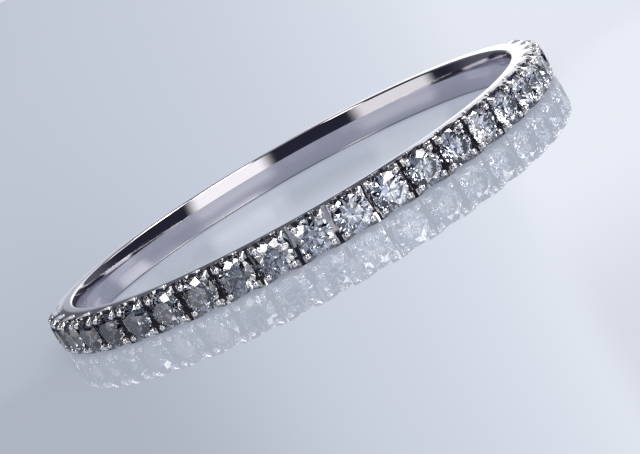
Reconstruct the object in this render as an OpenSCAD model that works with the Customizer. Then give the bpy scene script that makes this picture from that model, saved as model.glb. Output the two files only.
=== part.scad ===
// Half eternity ring, lying on its side.
// The finger's axis is Z, the row of stones faces -Y, and the lower flank rests on z = 0.
// A cell is the place of one stone: x runs along the band, y across it and z straight out,
// from the middle of the stone's girdle.

/* [Band] */
// Inside diameter, the finger size
inner_d = 16.8; // [14:0.1:22]
// Width of the band along the finger
band_w = 1.3; // [1.25:0.01:1.6]
// Width of the straight land in the middle of the inner side
land_w = 0.3; // [0.2:0.05:0.6]
// Radius of the dome across the inner side
inner_dome = 2.5; // [1.5:0.1:5]
// Rounding of the two edges that touch the finger
inner_edge = 0.08; // [0.05:0.01:0.2]
// Thickness of the plain shank
shank_t = 0.9; // [0.7:0.01:0.9]
// Rounding of the plain shank's two outer edges
shank_edge = 0.3; // [0.1:0.01:0.35]
// Radius of the dome across the plain shank
shank_dome = 1.6; // [1.2:0.1:5]

/* [Stones] */
// Diameter of each stone
stone_d = 1.18; // [1:0.01:1.2]
// Gap between neighbouring girdles
stone_gap = 0.145; // [0.1:0.005:0.3]
// Width of the table as a share of the diameter
table_share = 0.57; // [0.52:0.01:0.64]
// Slope of the crown's main facets, in degrees
crown_slope = 34.5; // [30:0.5:37]
// Slope of the pavilion's main facets, in degrees
pavilion_slope = 40.8; // [39:0.2:43]
// Thickness of the girdle as a share of the diameter
girdle_share = 0.03; // [0.02:0.005:0.05]
// Length of the star facets as a share of the crown
star_share = 0.5; // [0.4:0.05:0.65]
// Length of the lower girdle facets as a share of the pavilion
lower_share = 0.77; // [0.7:0.01:0.85]

/* [Setting] */
// Metal left between a culet and the finger
culet_cover = 0.36; // [0.15:0.01:0.5]
// Gap between a stone and its seat and claws
seat_gap = 0.012; // [0.01:0.001:0.03]
// Height of the posts above the girdles
post_rise = 0.03; // [0.02:0.005:0.05]
// Rounding of the posts' outer edges
post_edge = 0.14; // [0.08:0.01:0.2]
// Radius of the scallop under each stone
scallop_r = 0.45; // [0.4:0.01:0.5]
// Depth of the scallops below the girdles
scallop_drop = 0.38; // [0.2:0.01:0.42]
// Width of the saw cut between two stones
saw_w = 0.14; // [0.08:0.01:0.16]
// Radius of the saw
saw_r = 1; // [0.8:0.1:2]
// Depth of the saw cut below the girdles, midway across the band
saw_drop = 0.35; // [0.2:0.01:0.4]
// Radius of the bur that opens the corners between two stones
bur_r = 0.4; // [0.36:0.01:0.42]
// Depth of the bur's cut below the girdles
bur_drop = 0.24; // [0.2:0.01:0.26]

/* [Claws] */
// Radius of the bead at each claw's tip
bead_r = 0.11; // [0.09:0.005:0.13]
// How far a bead reaches over its stone
bead_grip = 0.07; // [0.03:0.005:0.08]
// Height of a bead's centre above the girdle
bead_rise = 0.05; // [0.02:0.005:0.07]
// Direction of the claws from the stone, in degrees from the band's length
claw_turn = 45; // [42:1:48]
// Radius of a claw's heel, at the flank
heel_r = 0.08; // [0.06:0.005:0.09]
// Depth of a heel's centre below the girdle
heel_drop = 0.05; // [0.03:0.01:0.1]

/* [Hidden] */
stone_count = 23;
// Turn of each stone about its own axis against the stone before it
stone_twist = 17;
// Main facets round a brilliant, and the places round its girdle, two for each of them
mains = 8;
girdle_points = 2 * mains;
half_step = 180 / mains;
function two_digits(n) = n < 10 ? str("0", n) : str(n);
STONES = [for (i = [1 : stone_count]) str("stone_", two_digits(i))];
$fn = 96;

// Sizes of one stone, from the middle of its girdle
girdle_r = stone_d / 2;
girdle_half = girdle_share * stone_d / 2;
table_r = table_share * girdle_r;
crown_h = (girdle_r - table_r) * tan(crown_slope);
pavilion_h = girdle_r * tan(pavilion_slope);
// Apothems of the table and of the girdle, midway between two main facets
table_mid = table_r * cos(half_step);
girdle_mid = girdle_r * cos(half_step);
star_r = (table_mid + star_share * (girdle_mid - table_mid)) / cos(half_step);
star_h = crown_h * (girdle_r - star_r * cos(half_step)) / (girdle_r - table_r);
lower_r = (1 - lower_share) * girdle_r;
lower_h = pavilion_h * (1 - lower_r * cos(half_step) / girdle_r);

// Radii from the finger's axis
bore_r = inner_d / 2;
row_r = bore_r + culet_cover + pavilion_h + girdle_half;
post_r = row_r + post_rise;
shank_r = bore_r + shank_t;
pitch = 2 * asin((stone_d + stone_gap) / (2 * row_r));
row_turn = stone_count * pitch;
pitch_half = (stone_d + stone_gap) / 2;
// How much narrower a claw's body is than its two ends, and how far its heel stays inside the flank
claw_step = 0.005;
heel_inset = 0.02;
mid = band_w / 2;
// Reach of the cuts past the metal
over = 0.5;
// Overlap of the two halves of the band's section
lap = 0.05;
// Segments of the smallest round shapes
small_fn = 36;

function stone_angle(i) = (i - (stone_count - 1) / 2) * pitch;

// Carries its children to the place on the row that lies at an angle from the front
module on_row(angle) {
    rotate([0, 0, angle]) translate([0, -row_r, mid]) rotate([90, 0, 0]) children();
}

// One side of the band's section, domed and rounded, with its crest at x = 0 and the metal beyond it
module side(dome, edge) {
    corner_x = dome - sqrt(pow(dome - edge, 2) - pow(mid - edge, 2));
    turn_y = edge * (1 - (mid - edge) / (dome - edge));
    intersection() {
        translate([dome, mid]) circle(dome);
        translate([0, turn_y]) square([corner_x, band_w - 2 * turn_y]);
    }
    for (y = [edge, band_w - edge]) translate([corner_x, y]) circle(edge);
    translate([corner_x, 0]) square([shank_t / 2 + lap - corner_x, band_w]);
}

// The plain ring: x runs out from the finger's axis, y along it
module shank() {
    land_sag = inner_dome - sqrt(pow(inner_dome, 2) - pow(land_w / 2, 2));
    rotate_extrude() intersection() {
        union() {
            translate([bore_r - land_sag, 0]) side(inner_dome, inner_edge);
            translate([shank_r, 0]) mirror([1, 0]) side(shank_dome, shank_edge);
        }
        translate([bore_r, 0]) square([shank_t, band_w]);
    }
}

// Wall that carries the stones, before it is cut
module wall() {
    edge_x = post_r - post_edge;
    foot_x = bore_r + shank_t / 2;
    rotate([0, 0, -90 - row_turn / 2]) rotate_extrude(angle = row_turn) {
        translate([foot_x, 0]) square([edge_x - foot_x, band_w]);
        translate([edge_x, post_edge]) square([post_edge, band_w - 2 * post_edge]);
        for (y = [post_edge, band_w - post_edge]) translate([edge_x, y]) circle(post_edge);
    }
}

// Space of a stone with a gap all round it
module seat() {
    room_r = girdle_r + seat_gap;
    point_z = -girdle_half - pavilion_h - seat_gap / cos(pavilion_slope);
    ledge_z = point_z + room_r * tan(pavilion_slope);
    crown_z = girdle_half + seat_gap;
    star_z = crown_z + star_h;
    rotate_extrude()
        polygon([[0, point_z], [room_r, ledge_z], [room_r, crown_z], [star_r, star_z], [0, star_z]]);
}

module scallop() {
    translate([0, 0, scallop_r - scallop_drop]) rotate([90, 0, 0])
        cylinder(h = band_w + over, r = scallop_r, center = true);
}

// Cuts between two stones: a saw cut across the whole band and a round one between its posts
module parting() {
    translate([0, 0, saw_r - saw_drop]) rotate([0, 90, 0])
        cylinder(h = saw_w, r = saw_r, center = true);
    translate([0, 0, -bur_drop]) cylinder(h = bur_drop + over, r = bur_r);
}

// Half a disc, whose straight side lies on x = 0
module half_disc(r) {
    intersection() {
        circle(r);
        translate([0, -r]) square([r, 2 * r]);
    }
}

// A claw's tapered body with its round tip and heel, pointing up
module finger(length) {
    rotate_extrude() {
        half_disc(bead_r);
        translate([0, -length]) half_disc(heel_r);
        polygon([[0, -length], [heel_r - claw_step, -length], [bead_r - claw_step, 0], [0, 0]]);
    }
}

module claw() {
    reach = girdle_r + bead_r - bead_grip;
    tip = [reach * cos(claw_turn), reach * sin(claw_turn), bead_rise];
    post_x = (scallop_r + pitch_half - saw_w / 2) / 2;
    heel = [post_x, mid - heel_r - heel_inset, -heel_drop];
    d = tip - heel;
    translate(tip) rotate([0, acos(d.z / norm(d)), atan2(d.y, d.x)]) finger(norm(d), $fn = small_fn);
}

module claws() {
    for (sx = [0, 1], sy = [0, 1]) mirror([sx, 0, 0]) mirror([0, sy, 0]) claw();
}

module at_stones() {
    for (i = [0 : stone_count - 1]) on_row(stone_angle(i)) children();
}

module at_gaps() {
    for (i = [0 : stone_count]) on_row(stone_angle(i) - pitch / 2) children();
}

// The band with its scallops and partings, before the claws are raised
module cut_band() {
    difference() {
        difference() {
            union() {
                shank();
                wall();
            }
            at_gaps() parting();
        }
        at_stones() scallop();
    }
}

module band() {
    color("silver") difference() {
        union() {
            cut_band();
            at_stones() claws();
        }
        at_stones() seat();
    }
}

// Points of one brilliant
function ring_of(n, r, z, turn = 0) =
    [for (k = [0 : n - 1]) [r * cos(turn + k * 360 / n), r * sin(turn + k * 360 / n), z]];

brilliant_points = concat(
    ring_of(mains, table_r, girdle_half + crown_h),
    ring_of(mains, star_r, girdle_half + star_h, half_step),
    ring_of(girdle_points, girdle_r, girdle_half),
    ring_of(girdle_points, girdle_r, -girdle_half),
    ring_of(mains, lower_r, -girdle_half - lower_h, half_step),
    [[0, 0, -girdle_half - pavilion_h]]
);
function table_at(k) = k % mains;
function star_at(k) = mains + (k + mains) % mains;
function upper_at(j) = 2 * mains + j % girdle_points;
function under_at(j) = 2 * mains + girdle_points + j % girdle_points;
function lower_at(k) = 2 * mains + 2 * girdle_points + (k + mains) % mains;
culet_at = 3 * mains + 2 * girdle_points;
brilliant_faces = concat(
    [[for (k = [mains - 1 : -1 : 0]) table_at(k)]],
    [for (k = [0 : mains - 1]) [table_at(k + 1), star_at(k), table_at(k)]],
    [for (k = [0 : mains - 1]) [table_at(k), star_at(k), upper_at(2 * k), star_at(k - 1)]],
    [for (k = [0 : mains - 1], s = [0, 1]) [star_at(k), upper_at(2 * k + s + 1), upper_at(2 * k + s)]],
    [for (j = [0 : girdle_points - 1]) [upper_at(j), upper_at(j + 1), under_at(j + 1), under_at(j)]],
    [for (k = [0 : mains - 1], s = [0, 1]) [lower_at(k), under_at(2 * k + s), under_at(2 * k + s + 1)]],
    [for (k = [0 : mains - 1]) [culet_at, lower_at(k - 1), under_at(2 * k), lower_at(k)]]
);

// One brilliant in its seat, each turned about its own axis by another amount
module stone(i) {
    color("aliceblue") on_row(stone_angle(i)) rotate([0, 0, i * stone_twist])
        polyhedron(brilliant_points, brilliant_faces);
}

band();
for (i = [0 : stone_count - 1])
    stone(i);
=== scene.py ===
import math

import bpy
from mathutils import Matrix, Vector

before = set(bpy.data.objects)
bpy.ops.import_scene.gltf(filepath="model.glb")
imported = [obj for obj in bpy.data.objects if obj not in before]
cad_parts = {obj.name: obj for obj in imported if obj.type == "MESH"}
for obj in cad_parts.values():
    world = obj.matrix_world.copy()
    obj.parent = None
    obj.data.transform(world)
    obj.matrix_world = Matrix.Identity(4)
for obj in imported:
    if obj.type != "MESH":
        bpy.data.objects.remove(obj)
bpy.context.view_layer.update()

STONES = sorted(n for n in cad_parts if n.startswith("stone_"))

# The photograph's camera as fitted to it: lengths in radii of the bore, angles in radians. The view
# is turned by TURN from the middle of the stone row, and RIGHT is the way to its right.
BORE_R = 0.0085
DISTANCE = 8.513
SIDE_SHIFT = 0.0488
RISE = -0.0781
ELEVATION = 0.1661
ROLL = -0.5180
TURN = math.radians(-6.66)
RIGHT = (math.cos(TURN), math.sin(TURN), 0)
FOCAL_PX = 2134
FRAME_PX = 640
SENSOR_MM = 36
SHIFT_UP = 0.0017
CLIP_START, CLIP_END = 0.001, 100

# Noise as scale and detail, and the part of its range that counts
METAL_HAZE = (900, 4)
HAZE_RANGE = (0.3, 0.75)
HAIRLINES = (2500, 2)
STONE_CLOUDS = (1500, 3)
STONE_TO_STONE = (420, 0)
STONE_RANGE = (0.35, 0.65)
TABLE_SPOTS = (4, 2)

# Metal: colours, with painted shade inside, on the flanks and in the hollows, roughness, bump and a
# faint painted glow
METAL_TONES = ((0.74, 0.74, 0.765), (0.80, 0.80, 0.815))
METAL_INSIDE_SHADE = (0.60, 0.59, 0.65)
METAL_FLANK_SHADE = (0.63, 0.63, 0.68)
METAL_HOLLOW_SHADE = (0.12, 0.115, 0.12)
METAL_ROUGHNESS = (0.035, 0.075)
CLAW_ROUGHNESS = 0.24
HAIRLINE_STRETCH = (1, 1, 14)
HAIRLINE_STRENGTH = 0.02
HAIRLINE_DEPTH = 0.00001
METAL_PAINTED_GLOW = (0.010, 0.0095, 0.012)

# Metal: where its parts are, by facing, by openness or by distance from the finger's axis, and so
# where its painted shade goes
INSIDE_FACING = (-0.97, -0.8)
FLANK_FACING = (0.985, 0.999)
HOLLOW_SHADE_REACH = 0.00035
HOLLOW_SHADE_OPENNESS = (0.1, 0.6)
FLANK_MARGIN = (0.00866, 0.00874)
FLANK_END = (0.00872, 0.00892)
CLAW_RADII = (0.00928, 0.00934)

# How far the flanks' normals lean: outwards, along the inner margin, and at the row's ends
FLANK_LEAN = 0.14
MARGIN_LEAN = -0.02
END_LEAN = 0.15

# Stones: colours, then painted light that brightens them from the row's left end to its right end,
# and their brightness from stone to stone
STONE_TONES = ((0.26, 0.28, 0.33), (0.33, 0.35, 0.41))
STONE_IOR = 2.42
ROW_SPAN = (-1.0, 0.75)
ROW_PAINTED_LIGHT = (0.55, 2.3)
UNEVEN_BRIGHTNESS = (0.75, 1.25)

# Table: base, glow in the open and its painted shadow under the ring, mirror and its haze from back
# to front
TABLE_SIZE = 12
TABLE_TONES = ((0.06, 0.065, 0.08), (0.07, 0.075, 0.09))
TABLE_ROUGHNESS = 0.6
TABLE_GLOW = (0.56, 0.61, 0.715)
TABLE_SHADE = (0.42, 0.46, 0.56)
SHADE_REACH = 0.006
TABLE_MIRROR = 0.37
TABLE_HAZE = (-0.007, 0.002)
MIRROR_ROUGHNESS = (0.02, 0.2)
AO_SAMPLES = 8

# Soft lights by name: azimuth from the camera to the right and elevation, half their width and
# height, the width of their soft edge, all in degrees, then their radiance
LIGHTS = {
    "left": (-67, 8, 23, 14, 5, 1.15),
    "right_front": (28, 8, 22, 12, 5, 1.5),
    "right_side": (103, 22, 12, 8, 4, 2.0),
    "left_window": (-48, 49, 11, 9, 2, 8),
    "right_window": (36, 47, 19, 14, 2, 6.5),
    "far_window": (86, 46, 16, 13, 2, 6.5),
    "overhead": (0, 90, 190, 16, 8, 0.6),
}
LAMP_TONE = (1.0, 0.975, 0.95)

# Backdrop colours, then where each of its parts begins or ends: angles to the right of the view
# and above the horizon, in degrees
DARK = (0.010, 0.012, 0.028)
DUSK = (0.12, 0.125, 0.155)
PALE = (0.68, 0.71, 0.78)
WHITE = (1.42, 1.43, 1.46)
WALL = (0.98, 0.98, 1.02)
BEHIND = -180
DUSK_ASIDE, DUSK_TOP = (50, 80), (40, 60)
CARD_LEFT, CARD_RIGHT, CARD_TOP = (-11.5, -9.5), (34, 42), (19, 20)
CARD_BRIGHTENS = (-2, 9)
SHADE_BOTTOM, SHADE_RIGHT = (6.5, 8.5), (-7.5, -0.5)
WALL_LEFT, WALL_TOP = (4.6, 6), (32, 40)
WALL_DIMS = (11, 16)


def camera_axes():
    away = Vector((0, math.cos(ELEVATION), -math.sin(ELEVATION)))
    right = Vector((1, 0, 0))
    up = right.cross(away)
    c, s = math.cos(ROLL), math.sin(ROLL)
    right, up = c * right + s * up, -s * right + c * up
    place = (right * SIDE_SHIFT + up * RISE - away * DISTANCE) * BORE_R
    turn = Matrix.Rotation(TURN, 3, "Z")
    return [turn @ v for v in (right, up, away, place)]


def make_camera():
    right, up, away, place = camera_axes()
    data = bpy.data.cameras.new("camera")
    data.sensor_width = SENSOR_MM
    data.lens = SENSOR_MM * FOCAL_PX / FRAME_PX
    data.shift_y = SHIFT_UP
    data.clip_start = CLIP_START
    data.clip_end = CLIP_END
    cam = bpy.data.objects.new("camera", data)
    bpy.context.scene.collection.objects.link(cam)
    pose = Matrix((right, up, -away)).transposed().to_4x4()
    pose.translation = place
    cam.matrix_world = pose
    bpy.context.scene.camera = cam


# Shader helpers: each makes a node and gives back its output
def plug(nt, sock, value):
    if isinstance(value, bpy.types.NodeSocket):
        nt.links.new(value, sock)
    else:
        sock.default_value = value


def new_material(name):
    m = bpy.data.materials.new(name)
    m.use_nodes = True
    nt = m.node_tree
    return m, nt, nt.nodes["Principled BSDF"]


def object_coords(nt):
    return nt.nodes.new("ShaderNodeTexCoord").outputs["Object"]


def split(nt, vector):
    n = nt.nodes.new("ShaderNodeSeparateXYZ")
    nt.links.new(vector, n.inputs[0])
    return n.outputs


def math_node(nt, op, *values):
    n = nt.nodes.new("ShaderNodeMath")
    n.operation = op
    for sock, value in zip(n.inputs, values):
        plug(nt, sock, value)
    return n.outputs[0]


def product(nt, first, *others):
    for other in others:
        first = math_node(nt, "MULTIPLY", first, other)
    return first


def map_range(nt, value, lo, hi, to_lo=0.0, to_hi=1.0):
    n = nt.nodes.new("ShaderNodeMapRange")
    n.interpolation_type = "SMOOTHSTEP"
    n.inputs["From Min"].default_value = lo
    n.inputs["From Max"].default_value = hi
    n.inputs["To Min"].default_value = to_lo
    n.inputs["To Max"].default_value = to_hi
    nt.links.new(value, n.inputs["Value"])
    return n.outputs["Result"]


# Between two angles in degrees: from 0 to 1, and from 1 to 0
def begins(nt, angle, lo, hi):
    return map_range(nt, angle, math.radians(lo), math.radians(hi))


def ends(nt, angle, lo, hi):
    return map_range(nt, angle, math.radians(lo), math.radians(hi), 1, 0)


def noise(nt, vector, scale, detail):
    n = nt.nodes.new("ShaderNodeTexNoise")
    n.inputs["Scale"].default_value = scale
    n.inputs["Detail"].default_value = detail
    nt.links.new(vector, n.inputs["Vector"])
    return n.outputs["Fac"]


def mix_color(nt, fac, a, b):
    n = nt.nodes.new("ShaderNodeMix")
    n.data_type = "RGBA"
    plug(nt, n.inputs[0], fac)
    for sock, value in ((n.inputs[6], a), (n.inputs[7], b)):
        plug(nt, sock, value if isinstance(value, bpy.types.NodeSocket) else (*value, 1))
    return n.outputs[2]


def vector_node(nt, op, *values):
    n = nt.nodes.new("ShaderNodeVectorMath")
    n.operation = op
    for sock, value in zip(n.inputs, values):
        plug(nt, sock, value)
    return n.outputs["Value" if op in ("DOT_PRODUCT", "LENGTH") else "Vector"]


def scaled(nt, vector, factor):
    n = nt.nodes.new("ShaderNodeVectorMath")
    n.operation = "SCALE"
    nt.links.new(vector, n.inputs[0])
    nt.links.new(factor, n.inputs["Scale"])
    return n.outputs[0]


# 1 in the open, less where other surfaces are within reach
def openness(nt, reach):
    n = nt.nodes.new("ShaderNodeAmbientOcclusion")
    n.samples = AO_SAMPLES
    n.inputs["Distance"].default_value = reach
    return n.outputs["AO"]


# The way out from the finger's axis and the distance from it
def outwards(nt, coords):
    flat = vector_node(nt, "MULTIPLY", coords, (1, 1, 0))
    return vector_node(nt, "NORMALIZE", flat), vector_node(nt, "LENGTH", flat)


# Where the two flanks are, and the normal that hand polishing leaves there: inwards along the
# inner margin, then outwards, and at the two ends of the row to the right
def soft_flank(nt, normal, out, radius):
    upright = math_node(nt, "ABSOLUTE", split(nt, normal)[2])
    flat = map_range(nt, upright, *FLANK_FACING)
    dome = scaled(nt, out, map_range(nt, radius, *FLANK_MARGIN, MARGIN_LEAN, FLANK_LEAN))
    side = vector_node(nt, "DOT_PRODUCT", out, RIGHT)
    end = product(nt, side, side, map_range(nt, radius, *FLANK_END, 1, 0))
    lean = mix_color(nt, end, dome, [END_LEAN * c for c in RIGHT])
    leant = vector_node(nt, "ADD", normal, scaled(nt, lean, flat))
    return flat, vector_node(nt, "NORMALIZE", leant)


# Polished white metal: a clean mirror with faint polishing haze and hairlines, painted shade that
# makes it cooler and darker inside and on the flanks, softer on the claws, painted shade that makes
# it dark in the seats and saw cuts, and a faint painted glow
def metal():
    m, nt, b = new_material("polished_white_metal")
    coords = object_coords(nt)
    normal = nt.nodes.new("ShaderNodeNewGeometry").outputs["Normal"]
    out, radius = outwards(nt, coords)
    haze = noise(nt, coords, *METAL_HAZE)

    color = mix_color(nt, haze, *METAL_TONES)
    facing = vector_node(nt, "DOT_PRODUCT", normal, out)
    # Painted shade: metal facing the finger gets a darker, cooler colour
    color = mix_color(nt, map_range(nt, facing, *INSIDE_FACING, 1, 0), color, METAL_INSIDE_SHADE)
    shaded_flank, shaped = soft_flank(nt, normal, out, radius)
    # Painted shade: the flanks get a darker, cooler colour
    color = mix_color(nt, shaded_flank, color, METAL_FLANK_SHADE)
    # Painted shade: near black in the seats, saw cuts and other hollows, wherever other surfaces
    # are close
    hollow_shade = map_range(nt, openness(nt, HOLLOW_SHADE_REACH), *HOLLOW_SHADE_OPENNESS, 1, 0)
    nt.links.new(mix_color(nt, hollow_shade, color, METAL_HOLLOW_SHADE), b.inputs["Base Color"])

    rough = map_range(nt, haze, *HAZE_RANGE, *METAL_ROUGHNESS)
    claws = map_range(nt, radius, *CLAW_RADII, 0, CLAW_ROUGHNESS)
    nt.links.new(math_node(nt, "MAXIMUM", rough, claws), b.inputs["Roughness"])
    b.inputs["Metallic"].default_value = 1
    # Painted glow: the metal gives off a faint light of its own that lifts its darkest parts
    b.inputs["Emission Color"].default_value = (*METAL_PAINTED_GLOW, 1)
    b.inputs["Emission Strength"].default_value = 1

    stretch = nt.nodes.new("ShaderNodeMapping")
    stretch.inputs["Scale"].default_value = HAIRLINE_STRETCH
    nt.links.new(coords, stretch.inputs["Vector"])
    bump = nt.nodes.new("ShaderNodeBump")
    bump.inputs["Strength"].default_value = HAIRLINE_STRENGTH
    bump.inputs["Distance"].default_value = HAIRLINE_DEPTH
    nt.links.new(noise(nt, stretch.outputs[0], *HAIRLINES), bump.inputs["Height"])
    nt.links.new(shaped, bump.inputs["Normal"])
    nt.links.new(bump.outputs[0], b.inputs["Normal"])
    return m


# Brilliant: clear, strongly refracting, with a faint cool cast and tiny clouds, uneven from stone
# to stone, and with painted light that makes it brighter from the row's left end to its right end
def brilliant():
    m, nt, b = new_material("brilliant")
    coords = object_coords(nt)
    color = mix_color(nt, noise(nt, coords, *STONE_CLOUDS), *STONE_TONES)
    side = vector_node(nt, "DOT_PRODUCT", outwards(nt, coords)[0], RIGHT)
    # Painted light: stones are darker at the row's left end and brighter towards its right end
    row_light = map_range(nt, side, *ROW_SPAN, *ROW_PAINTED_LIGHT)
    uneven = map_range(nt, noise(nt, coords, *STONE_TO_STONE), *STONE_RANGE, *UNEVEN_BRIGHTNESS)
    nt.links.new(scaled(nt, color, product(nt, row_light, uneven)), b.inputs["Base Color"])
    b.inputs["Roughness"].default_value = 0.0
    b.inputs["IOR"].default_value = STONE_IOR
    b.inputs["Transmission Weight"].default_value = 1
    return m


# Pale table under clear glass: an even mirror over a soft glow, with painted shadow under and
# inside the ring
def table():
    m, nt, b = new_material("pale_table")
    coords = object_coords(nt)
    color = mix_color(nt, noise(nt, coords, *TABLE_SPOTS), *TABLE_TONES)
    nt.links.new(color, b.inputs["Base Color"])
    b.inputs["Roughness"].default_value = TABLE_ROUGHNESS
    b.inputs["Specular IOR Level"].default_value = 0
    # Painted shadow: the glow is dimmer under and inside the ring, wherever the ring is close
    glow = mix_color(nt, openness(nt, SHADE_REACH), TABLE_SHADE, TABLE_GLOW)
    nt.links.new(glow, b.inputs["Emission Color"])
    b.inputs["Emission Strength"].default_value = 1
    mirror = nt.nodes.new("ShaderNodeBsdfGlossy")
    rough = map_range(nt, split(nt, coords)[1], *TABLE_HAZE, *MIRROR_ROUGHNESS)
    nt.links.new(rough, mirror.inputs["Roughness"])
    both = nt.nodes.new("ShaderNodeMixShader")
    both.inputs[0].default_value = TABLE_MIRROR
    nt.links.new(b.outputs[0], both.inputs[1])
    nt.links.new(mirror.outputs[0], both.inputs[2])
    nt.links.new(both.outputs[0], nt.nodes["Material Output"].inputs["Surface"])
    return m


def make_table():
    bpy.ops.mesh.primitive_grid_add(x_subdivisions=4, y_subdivisions=4, size=TABLE_SIZE)
    floor = bpy.context.object
    floor.name = "table_top"
    floor.data.materials.append(table())


# The angle of each direction to one side of an azimuth, and its angle above the horizon
def bearings(nt, direction, azimuth):
    spin = nt.nodes.new("ShaderNodeMapping")
    spin.inputs["Rotation"].default_value = (0, 0, -math.radians(azimuth) - TURN)
    nt.links.new(direction, spin.inputs["Vector"])
    x, y, z = split(nt, spin.outputs[0])
    return math_node(nt, "ARCTAN2", x, product(nt, y, -1)), math_node(nt, "ARCSINE", z)


# How far each direction lies within a soft light
def patch(nt, direction, azimuth, elevation, half_width, half_height, edge):
    aside, rise = bearings(nt, direction, azimuth)
    off = math_node(nt, "SUBTRACT", rise, math.radians(elevation))
    across = ends(nt, math_node(nt, "ABSOLUTE", aside), half_width - edge, half_width + edge)
    upright = ends(nt, math_node(nt, "ABSOLUTE", off), half_height - edge, half_height + edge)
    return product(nt, across, upright)


# Backdrop behind the object: a low card that grows brighter to the right and is shaded at its
# upper left, and a taller white wall before its right part, with dusk above and dark all round
def backdrop(nt, direction):
    aside, rise = bearings(nt, direction, BEHIND)
    aside = product(nt, aside, -1)
    above = product(nt, ends(nt, math_node(nt, "ABSOLUTE", aside), *DUSK_ASIDE),
                    ends(nt, rise, *DUSK_TOP))
    right_end = ends(nt, aside, *CARD_RIGHT)
    shade = product(nt, begins(nt, rise, *SHADE_BOTTOM), ends(nt, aside, *SHADE_RIGHT))
    card = product(nt, ends(nt, rise, *CARD_TOP), begins(nt, aside, *CARD_LEFT), right_end,
                   math_node(nt, "SUBTRACT", 1, shade))
    wall = product(nt, begins(nt, aside, *WALL_LEFT), right_end, ends(nt, rise, *WALL_TOP))
    card_tone = mix_color(nt, begins(nt, aside, *CARD_BRIGHTENS), PALE, WHITE)
    wall_tone = mix_color(nt, begins(nt, rise, *WALL_DIMS), WHITE, WALL)
    color = mix_color(nt, above, DARK, DUSK)
    color = mix_color(nt, card, color, card_tone)
    return mix_color(nt, wall, color, wall_tone)


def make_world():
    w = bpy.data.worlds.new("studio")
    bpy.context.scene.world = w
    w.use_nodes = True
    nt = w.node_tree
    bg = nt.nodes["Background"]
    direction = nt.nodes.new("ShaderNodeTexCoord").outputs["Generated"]
    color = backdrop(nt, direction)
    for *shape, radiance in LIGHTS.values():
        lit = patch(nt, direction, *shape)
        color = mix_color(nt, lit, color, [radiance * c for c in LAMP_TONE])
    nt.links.new(color, bg.inputs["Color"])
    bg.inputs["Strength"].default_value = 1


def dress():
    white = metal()
    clear = brilliant()
    for name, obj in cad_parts.items():
        mat = clear if name in STONES else white
        for slot in obj.material_slots:
            slot.material = mat


make_camera()
make_table()
make_world()
dress()
view = bpy.context.scene.view_settings
view.view_transform = "Standard"
